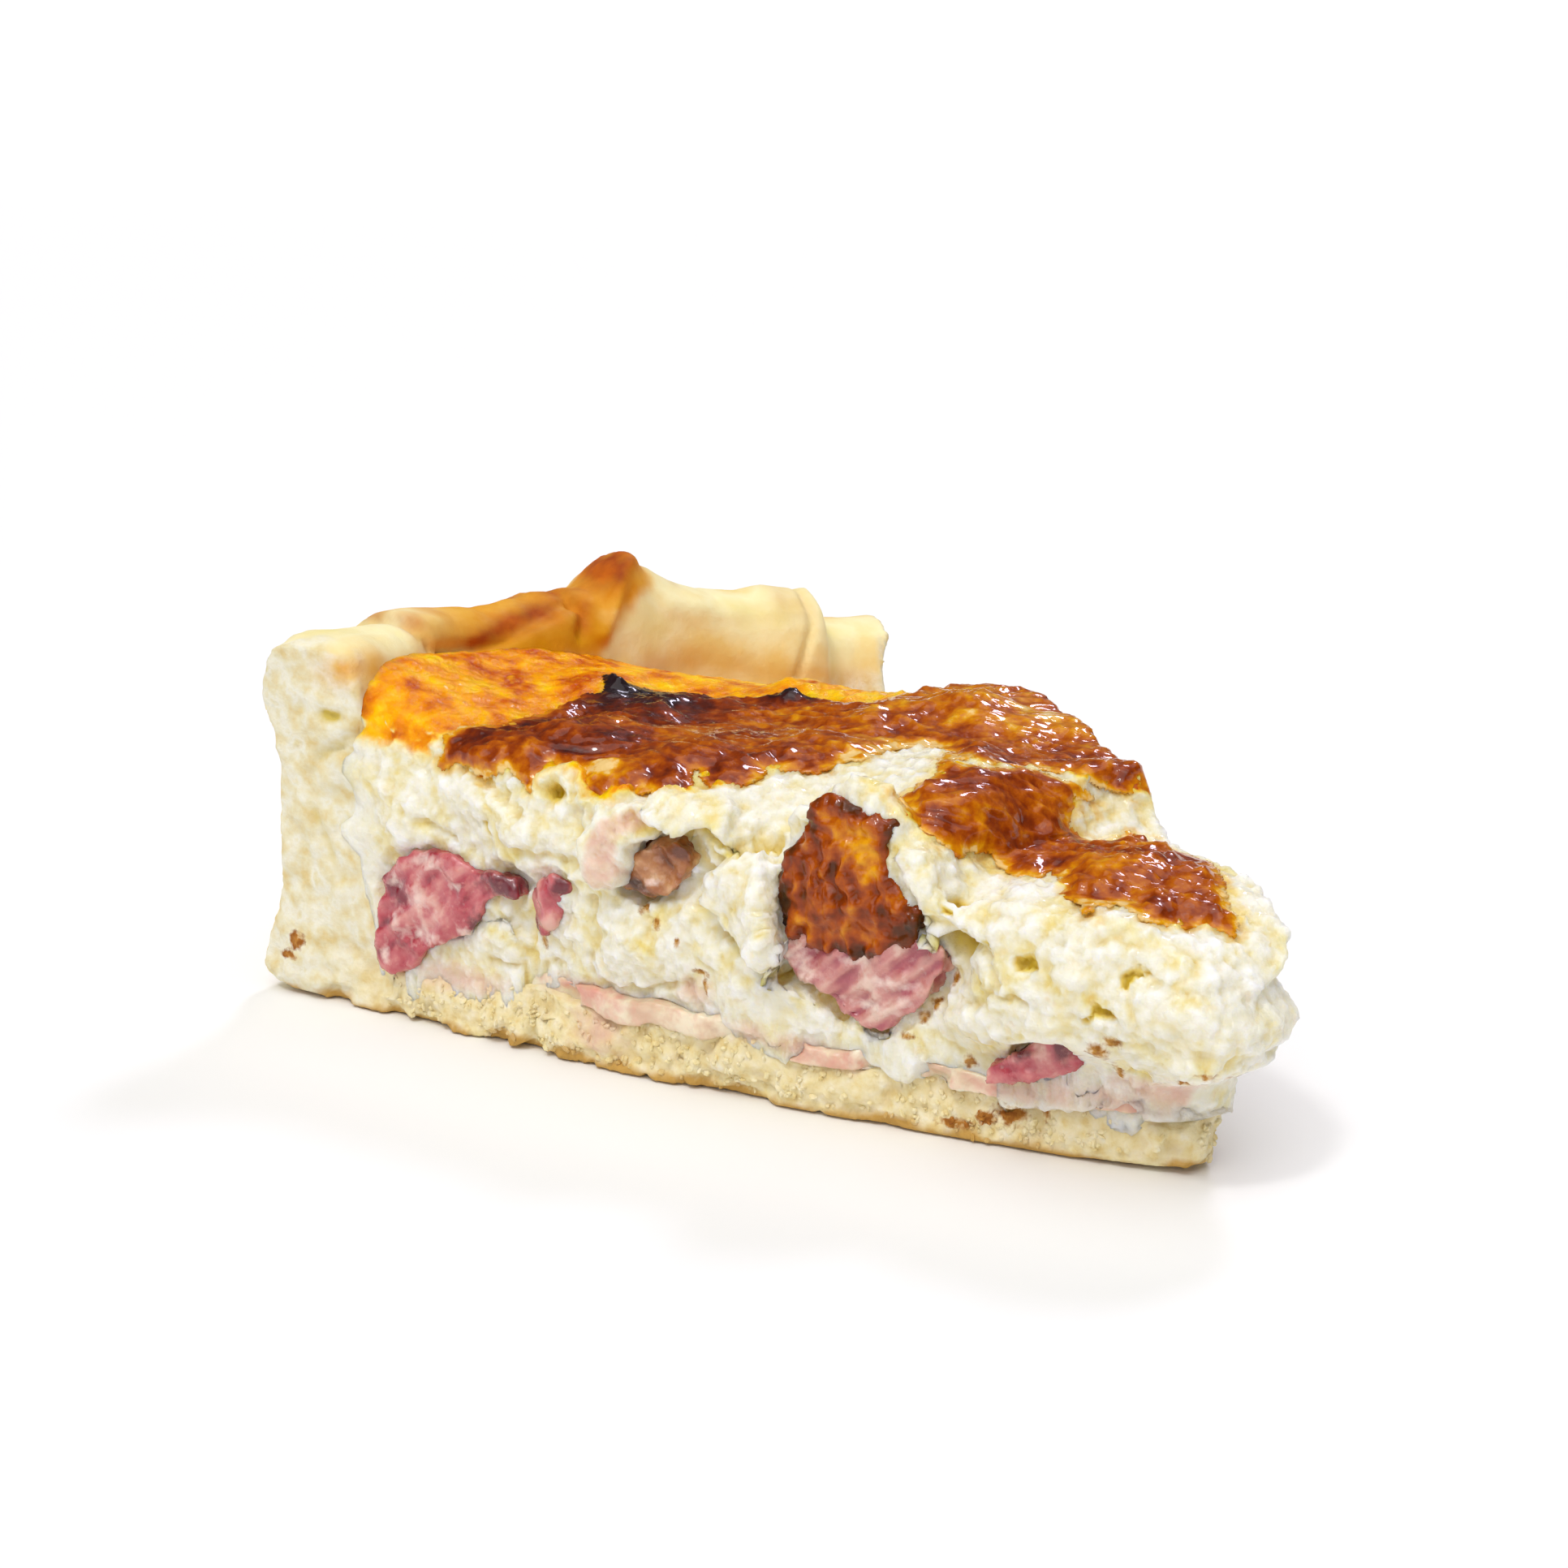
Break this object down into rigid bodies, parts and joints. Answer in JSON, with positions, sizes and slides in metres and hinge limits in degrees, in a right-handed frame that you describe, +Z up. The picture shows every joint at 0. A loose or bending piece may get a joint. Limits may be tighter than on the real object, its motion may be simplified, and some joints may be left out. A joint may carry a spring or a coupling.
{
  "type": "slice of ham and bacon quiche",
  "caption": "Wedge of savoury egg tart with a folded shortcrust rim, set custard, ham in the cut faces and a browned top.",
  "frame": {"origin": "middle of the underside of the slice's bounding box, on the surface that the slice lies on", "axes": "+X from the rim to the tip along the middle of the slice, +Y towards the cut with no torn skin, +Z up"},
  "size_m": [0.1234, 0.0928, 0.0457],
  "materials": {
    "baked_shortcrust": "dry crumbly pastry, straw to golden brown",
    "set_custard": "moist ivory custard, torn and soft",
    "pale_ham": "moist pale pink ham and fat",
    "cooked_ham": "moist pink ham with fibres",
    "browned_bacon": "browned bacon with pale fat",
    "browned_skin": "glossy blistered amber to burnt brown"
  },
  "bodies": {
    "root": {"pastry_shell": "baked_shortcrust", "custard_filling": "set_custard", "ham_layer": "pale_ham", "ham_near_rim": "cooked_ham", "ham_near_sliver": "cooked_ham", "browned_lardon": "browned_bacon", "ham_near_middle": "cooked_ham", "ham_near_tip": "cooked_ham", "ham_far_rim": "cooked_ham", "ham_far_middle": "cooked_ham", "ham_far_tip": "cooked_ham", "torn_browned_skin": "browned_skin"}
  },
  "joints": []
}
